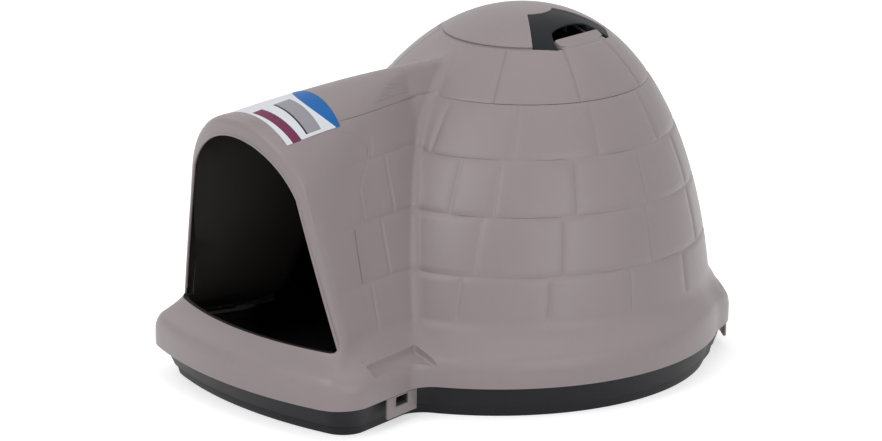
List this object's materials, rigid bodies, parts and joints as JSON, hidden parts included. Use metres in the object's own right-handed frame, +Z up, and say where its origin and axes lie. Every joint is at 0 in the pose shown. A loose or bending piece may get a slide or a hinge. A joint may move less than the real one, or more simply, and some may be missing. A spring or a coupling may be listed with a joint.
{
  "type": "igloo dog house",
  "caption": "Igloo-shaped plastic dog house: taupe block-relief dome with entry tunnel and skirt, on a black base pan, with a roof vent hood and snap tabs",
  "frame": {"origin": "middle of the outline on the ground, under the base pan", "axes": "X across the house, Y along it with the doorway facing -Y, Z up"},
  "size_m": [0.8634, 1.056, 0.6339],
  "materials": {
    "dome_shell": "taupe moulded plastic with a satin sheen",
    "snap_tab": "taupe moulded plastic with a satin sheen",
    "base_pan": "black moulded plastic",
    "vent_hood": "black moulded plastic with a cool sheen",
    "tunnel_label": null
  },
  "bodies": {
    "pan": {"base_pan": "base_pan"},
    "dome": {"dome_shell": "dome_shell", "vent_hood": "vent_hood", "tunnel_label": "tunnel_label"},
    "tab_front_right": {"snap_tab_front_right": "snap_tab"},
    "tab_front_left": {"snap_tab_front_left": "snap_tab"},
    "tab_rear_right": {"snap_tab_rear_right": "snap_tab"},
    "tab_rear_left": {"snap_tab_rear_left": "snap_tab"}
  },
  "joints": [
    {"name": "dome_lift", "type": "slide", "parent": "pan", "child": "dome", "axis": [0, 0, 1], "range_m": [0, 0.12]},
    {"name": "tab_front_right_flex", "type": "hinge", "parent": "dome", "child": "tab_front_right", "pos_m": [0.24395, -0.3169, 0.0547], "axis": [0.2241, -0.9746, 0], "range_deg": [0, 14], "stiffness_Nm_per_rad": 2},
    {"name": "tab_front_left_flex", "type": "hinge", "parent": "dome", "child": "tab_front_left", "pos_m": [-0.24395, -0.3169, 0.0547], "axis": [0.2241, 0.9746, 0], "range_deg": [0, 14], "stiffness_Nm_per_rad": 2},
    {"name": "tab_rear_right_flex", "type": "hinge", "parent": "dome", "child": "tab_rear_right", "pos_m": [0.24241, 0.46927, 0.0547], "axis": [0.8387, -0.5446, 0], "range_deg": [0, 14], "stiffness_Nm_per_rad": 2},
    {"name": "tab_rear_left_flex", "type": "hinge", "parent": "dome", "child": "tab_rear_left", "pos_m": [-0.24241, 0.46927, 0.0547], "axis": [0.8387, 0.5446, 0], "range_deg": [0, 14], "stiffness_Nm_per_rad": 2}
  ]
}
